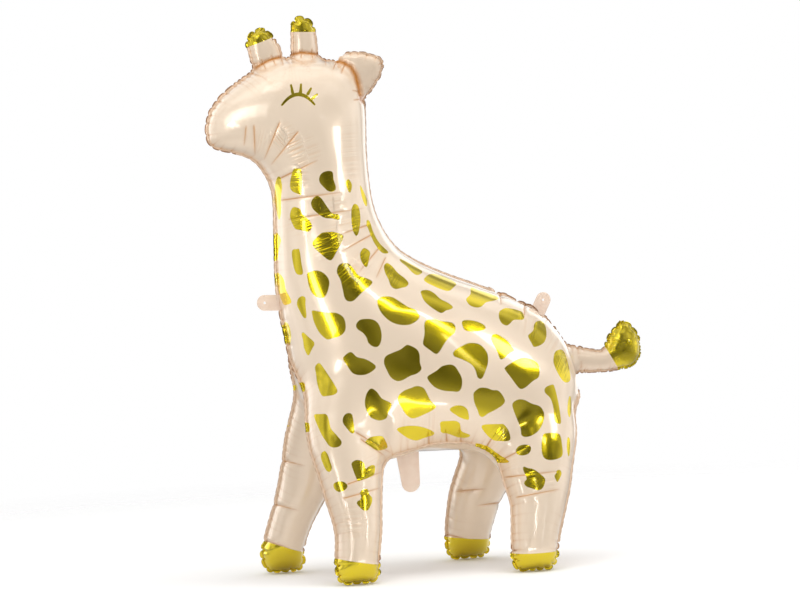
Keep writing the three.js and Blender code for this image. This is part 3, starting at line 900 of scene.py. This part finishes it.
line = maths(relief, "ABSOLUTE", given["Crease Off"])
crease = times(relief, fading(relief, line, LINE_FADE), given["Crease Deep"])
height = maths(relief, "SUBTRACT", height, times(relief, crease, LINE_HIGH))
swell = noise(relief, here, SWELL_SCALE, 1.0)
height = maths(relief, "ADD", height, times(relief, swell, SWELL_HIGH))
# Painted shade for the crimps' valleys, used in the base colour.
crimp_valley_shade = remap(relief, crimp, CRIMP_SHADE_RANGE)
# Besides the relief: Crease is the painted shade line at a crease's bottom, the next output a wider painted
# shade band beside it, Crimp the crimps' painted valley shade.
fill(relief, made, {
    "Normal": bumped(relief, height),
    "Crease": crease,
    "Crimp": times(relief, crimp_valley_shade, given["Crimp Deep"]),
    "Crease Shade": times(relief, fading(relief, line, HALO_FADE), given["Crease Deep"]),
})

CREAM = (0.80, 0.655, 0.505, 1)
EDGE_SHADE_CREAM = (0.72, 0.52, 0.36, 1)
GOLD = (0.85, 0.66, 0.008, 1)
CREASE_SHADE_BROWN = (0.40, 0.14, 0.008, 1)
SHADE_BROWN = (0.62, 0.28, 0.06, 1)
WELD_TAN = (0.90, 0.72, 0.56, 1)
WELD_SHADE_BROWN = (0.20, 0.06, 0.004, 1)
GILT_SOFT = 0.4
EDGE_FADE = -0.06
EDGE_SHARE = 0.5
SEAM_FADE = -0.9
SEAM_SHARE = 0.35
CRIMP_SHARE = 0.22
HALO_SHARE = 0.55
WELD_POWER = 1.5
DASH_GAIN = 4.4
DASH_LEAST = 0.16
WELD_DULL = 0.7
PEARL_METAL = 0.28
PEARL_ROUGH = 0.28
GOLD_ROUGH = 0.16
GOLD_COAT = 0.65
COAT_ROUGH = 0.05
COAT_IOR = 1.7
FILM_SPECULAR = 0.25

printed, film, shader = new_material("printed film")


def attribute(name):
    return add_node(film, "Attribute", {}, attribute_name=name).outputs["Fac"]


given = {socket: attribute(name) for socket, name in FILM_VALUES.items()}
finer = add_node(film, "Group", given, node_tree=relief).outputs
welded = attribute("weld")
gold_mask = remap(film, attribute("gilt_edge"), (GILT_SOFT, -GILT_SOFT))

# Painted shade: the cream turns a deeper, darker peach towards every seam, where the film curves away.
cream = mix(film, times(film, fading(film, given["Away"], EDGE_FADE), EDGE_SHARE), CREAM, EDGE_SHADE_CREAM)
# Painted shade in one brown: a thin line beside every seam, the crimps' valleys, and a wider band beside
# each crease.
for share in (
    times(film, fading(film, given["Away"], SEAM_FADE), SEAM_SHARE),
    times(film, finer["Crimp"], CRIMP_SHARE),
    times(film, finer["Crease Shade"], HALO_SHARE),
):
    cream = mix(film, share, cream, SHADE_BROWN)
# Painted shade: a sharp brown line at the bottom of every crease, gather and root valley.
cream = mix(film, finer["Crease"], cream, CREASE_SHADE_BROWN)
# Painted shade: dark brown dashes along the weld's outer edge, strongest at the pinched scallops.
dash = maths(film, "ADD", times(film, attribute("lobe"), DASH_GAIN), DASH_LEAST)
dash = times(film, dash, maths(film, "POWER", welded, WELD_POWER))
dash = maths(film, "MINIMUM", dash, 1.0)
cream = mix(film, welded, cream, mix(film, dash, WELD_TAN, WELD_SHADE_BROWN))

sunk = maths(film, "MAXIMUM", finer["Crease"], times(film, welded, WELD_DULL))
proud = maths(film, "SUBTRACT", 1.0, sunk)
fill(film, shader, {
    "Base Color": mix(film, gold_mask, cream, GOLD),
    "Metallic": maths(film, "MAXIMUM", gold_mask, times(film, proud, PEARL_METAL)),
    "Roughness": remap(film, gold_mask, (0.0, 1.0), (PEARL_ROUGH, GOLD_ROUGH)),
    "Coat Weight": times(film, remap(film, gold_mask, (0.0, 1.0), (1.0, GOLD_COAT)), proud),
    "Coat Roughness": COAT_ROUGH,
    "Coat IOR": COAT_IOR,
    "Specular IOR Level": FILM_SPECULAR,
    "Normal": finer["Normal"],
})


# The panels. Each is cut from the skin along the seams and carries its own half of the welded
# margin, a flat strip that stands out along its edge. The gusset joins the legs under the belly.
WELD_HALF = 0.00025
PANELS = {LEFT: "left_panel", GUSSET: "leg_gusset", RIGHT: "right_panel"}
RUMP_FROM = 0.24
TAIL_OVER = 0.37


def panel_with(face):
    """The panel that a face is cut with. The gusset ends at the fork, and under the tail."""
    middle = face.calc_center_median()
    top = TAIL_OVER if middle.x > RUMP_FROM else FORK_HEIGHT
    return RIGHT if face.material_index == GUSSET and middle.z > top else face.material_index


for which, name in PANELS.items():
    mesh = skin.data.copy()
    bm = bmesh.new()
    bm.from_mesh(mesh)
    bm.verts.ensure_lookup_table()
    source = bm.verts.layers.int.new("source")
    weld = bm.verts.layers.float["weld"]
    for vert in bm.verts:
        vert[source] = vert.index
    others = [face for face in bm.faces if panel_with(face) != which]
    bmesh.ops.delete(bm, geom=others, context="FACES")
    rim = [edge for edge in bm.edges if edge.is_boundary]
    grown = bmesh.ops.extrude_edge_only(bm, edges=rim)["geom"]
    rim = set(rim)
    for part in grown:
        if isinstance(part, bmesh.types.BMVert):
            side = -1 if which == LEFT or (which == GUSSET and part.co.y > 0) else 1
            part.co += Vector(weld_out[part[source]])
            part.co.y += side * WELD_HALF
            part.co.z = max(part.co.z, 0)
            part[weld] = 1
        elif isinstance(part, bmesh.types.BMFace):
            joint = next(loop for loop in part.loops if loop.edge in rim)
            if joint.link_loop_radial_next.vert == joint.vert:
                part.normal_flip()
    for face in bm.faces:
        face.material_index = 0
        face.smooth = True
    bm.verts.layers.int.remove(source)
    bm.to_mesh(mesh)
    bm.free()
    mesh.materials.clear()
    mesh.materials.append(printed)
    panel = put_in_scene(name, mesh)
    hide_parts("balloon_body")
    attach(panel, "root")
bpy.data.objects.remove(skin)


# Bare film pieces: the filling valve under the belly and the two hanging tabs. They are unprinted
# polyester, milky and a little see-through, so they keep their solids and get that film.
BARE_DARK = (0.80, 0.60, 0.46, 1)
BARE_PALE = (0.90, 0.75, 0.62, 1)
BARE_ROUGH = 0.32
BARE_SOLID = 0.82
HAZE_SCALE = 60.0

bare, tree, shader = new_material("bare film")
here = add_node(tree, "TexCoord", {}).outputs["Object"]
haze = noise(tree, here, HAZE_SCALE, 2.0)
fill(tree, shader, {
    "Base Color": mix(tree, haze, BARE_DARK, BARE_PALE),
    "Roughness": BARE_ROUGH,
    "Alpha": BARE_SOLID,
    "Normal": bumped(tree, haze),
})
for name in ("filling_valve", "chest_tab", "rump_tab"):
    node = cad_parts[name]
    node.data.materials.clear()
    node.data.materials.append(bare)


# The studio. A pale floor fades out into a white surround. Soft boxes stand about 1.3 m off, above
# and behind, some with a grid that keeps their light to one part of the balloon. The side towards
# the camera is dim in reflections, so that the mirror gold has contrast.
FLOOR_SIZE = 4.0
FLOOR_FADE = (1.0, 2.6)
FLOOR_ROUGH = 0.9
FLOOR_SPECULAR = 0.1
FLOOR_WHITE = (0.93, 0.925, 0.92, 1)
MIRRORED_FROM = (0.30, 0.85)
MIRRORED_GREY = (0.75, 0.32)

floor_mesh = bpy.data.meshes.new("floor")
bm = bmesh.new()
bmesh.ops.create_grid(bm, x_segments=1, y_segments=1, size=FLOOR_SIZE)
bm.to_mesh(floor_mesh)
bm.free()
floor = put_in_scene("floor", floor_mesh)
pale, tree, shader = new_material("pale floor")
here = add_node(tree, "TexCoord", {}).outputs["Object"]
from_middle = add_node(tree, "VectorMath", {0: here}, operation="LENGTH").outputs["Value"]
mirrored_grey = remap(tree, from_middle, MIRRORED_FROM, MIRRORED_GREY, "SMOOTHSTEP")
mirror_ray = add_node(tree, "LightPath", {}).outputs["Is Glossy Ray"]
fill(tree, shader, {
    "Base Color": mix(tree, mirror_ray, FLOOR_WHITE, mirrored_grey),
    "Roughness": FLOOR_ROUGH,
    "Specular IOR Level": FLOOR_SPECULAR,
    "Alpha": remap(tree, from_middle, FLOOR_FADE, (1.0, 0.0), "SMOOTHSTEP"),
})
floor_mesh.materials.append(pale)

MIDDLE = (0, 0, 0.5)
SOFT_BOXES = [
    ("left_strip", (-1.05, -1.00, 0.28), (-1.23, -0.80, 0.84), 0.17, 9, (-0.235, -0.08, 0.60), 44),
    ("muzzle_box", (-1.05, -0.32, 1.02), (-0.62, -0.88, 0.96), 0.34, 3.4, (-0.33, -0.06, 0.83), 56),
    ("high_strip", (-0.14, -1.27, 1.17), (0.18, -1.26, 0.98), 0.085, 9.5, (-0.12, -0.12, 0.50), 24),
    ("low_strip", (0.18, -1.26, 0.98), (0.60, -1.22, 0.77), 0.085, 9.5, (-0.05, -0.13, 0.455), 28),
    ("neck_box", (0.46, -1.21, 0.74), (0.70, -1.04, 0.74), 0.20, 8, (-0.18, -0.08, 0.74), 28),
    ("rump_box", (0.82, -1.10, 0.84), (1.06, -0.88, 0.88), 0.21, 9, (0.12, -0.12, 0.385), 26),
    ("shin_strip", (-1.00, -1.17, 0.22), (-1.00, -1.17, 0.42), 0.06, 8, (-0.21, -0.155, 0.13), 24),
    ("leg_strip", (0.56, -1.21, 0.15), (0.47, -1.21, 0.68), 0.07, 8, (-0.18, -0.16, 0.13), 30),
    ("hind_strip", (0.10, -1.36, 0.66), (-0.20, -1.38, 0.38), 0.07, 8, (0.13, -0.16, 0.15), 24),
    ("leg_box", (-0.6, -1.6, 0.2), (0.6, -1.6, 0.2), 0.3, 4, (0, 0, 0.12), 44),
    ("eye_light", (0.03, -1.20, 1.45), (0.15, -1.17, 1.48), 0.05, 6.5, MIDDLE, 180),
    ("forehead_box", (-1.3, -1.2, 2.9), (-0.5, -1.6, 2.9), 0.8, 1.16, MIDDLE, 180),
    ("belly_strip", (-0.26, -0.66, 0.03), (0.10, -0.66, 0.03), 0.03, 6, MIDDLE, 180),
    ("top_box", (-1.0, -0.6, 2.8), (1.4, -0.6, 2.8), 1.2, 3.4, MIDDLE, 180),
    ("back_left", (-1.9, 1.9, 0.0), (-1.9, 1.9, 2.4), 1.2, 0.8, MIDDLE, 180),
    ("back_right", (1.9, 1.9, 0.0), (1.9, 1.9, 2.4), 1.2, 0.8, MIDDLE, 180),
]
for name, start, end, wide, bright, aim, cone in SOFT_BOXES:
    start, end = Vector(start), Vector(end)
    place = (start + end) / 2
    away = (place - Vector(aim)).normalized()
    across = (end - start).cross(away).normalized()
    light = bpy.data.lights.new(name, "AREA")
    light.shape = "RECTANGLE"
    light.size = wide
    light.size_y = (end - start).length
    light.spread = math.radians(cone)
    half = math.radians(cone / 2)
    light.energy = bright * math.pi * light.size * light.size_y * (1 - half / math.tan(half))
    lamp = put_in_scene(name, light)
    turn = Matrix((across, away.cross(across), away)).transposed()
    lamp.matrix_world = Matrix.Translation(place) @ turn.to_4x4()
    lamp.visible_camera = False
    lamp.visible_glossy = name not in ("top_box", "leg_box")

WHITE = (1, 1, 1, 1)
SEEN_WHITE = 1.0
FILL_WHITE = 0.86
DIM_FRONT = 0.17
BRIGHT_BACK = 0.73
FRONT_TO_BACK = (-0.95, -0.15)
PATCH_SCALE = 3.2
PATCH_SPREAD = (0.35, 0.65)
PATCH_BRIGHT = (0.45, 1.55)

world = bpy.data.worlds.new("surround")
bpy.context.scene.world = world
world.use_nodes = True
air = world.node_tree
way = add_node(air, "TexCoord", {}).outputs["Generated"]
back = add_node(air, "SeparateXYZ", {0: way}).outputs["Y"]
shade = remap(air, back, FRONT_TO_BACK, (DIM_FRONT, BRIGHT_BACK), "SMOOTHSTEP")
patches = remap(air, noise(air, way, PATCH_SCALE, 1.0), PATCH_SPREAD, PATCH_BRIGHT)
ray = add_node(air, "LightPath", {}).outputs
strength = times(air, shade, patches)
strength = mix(air, ray["Is Diffuse Ray"], strength, FILL_WHITE, "FLOAT")
strength = mix(air, ray["Is Camera Ray"], strength, SEEN_WHITE, "FLOAT")
fill(air, air.nodes["Background"], {"Strength": strength, "Color": WHITE})
bpy.context.scene.view_settings.view_transform = "Standard"

camera_data = bpy.data.cameras.new("camera")
camera_data.lens = VIEW_LENS
camera_data.sensor_width = VIEW_SENSOR
camera = put_in_scene("camera", camera_data)
camera.matrix_world = Matrix.Translation(VIEW_PLACE) @ view_turn.to_4x4()
bpy.context.scene.camera = camera
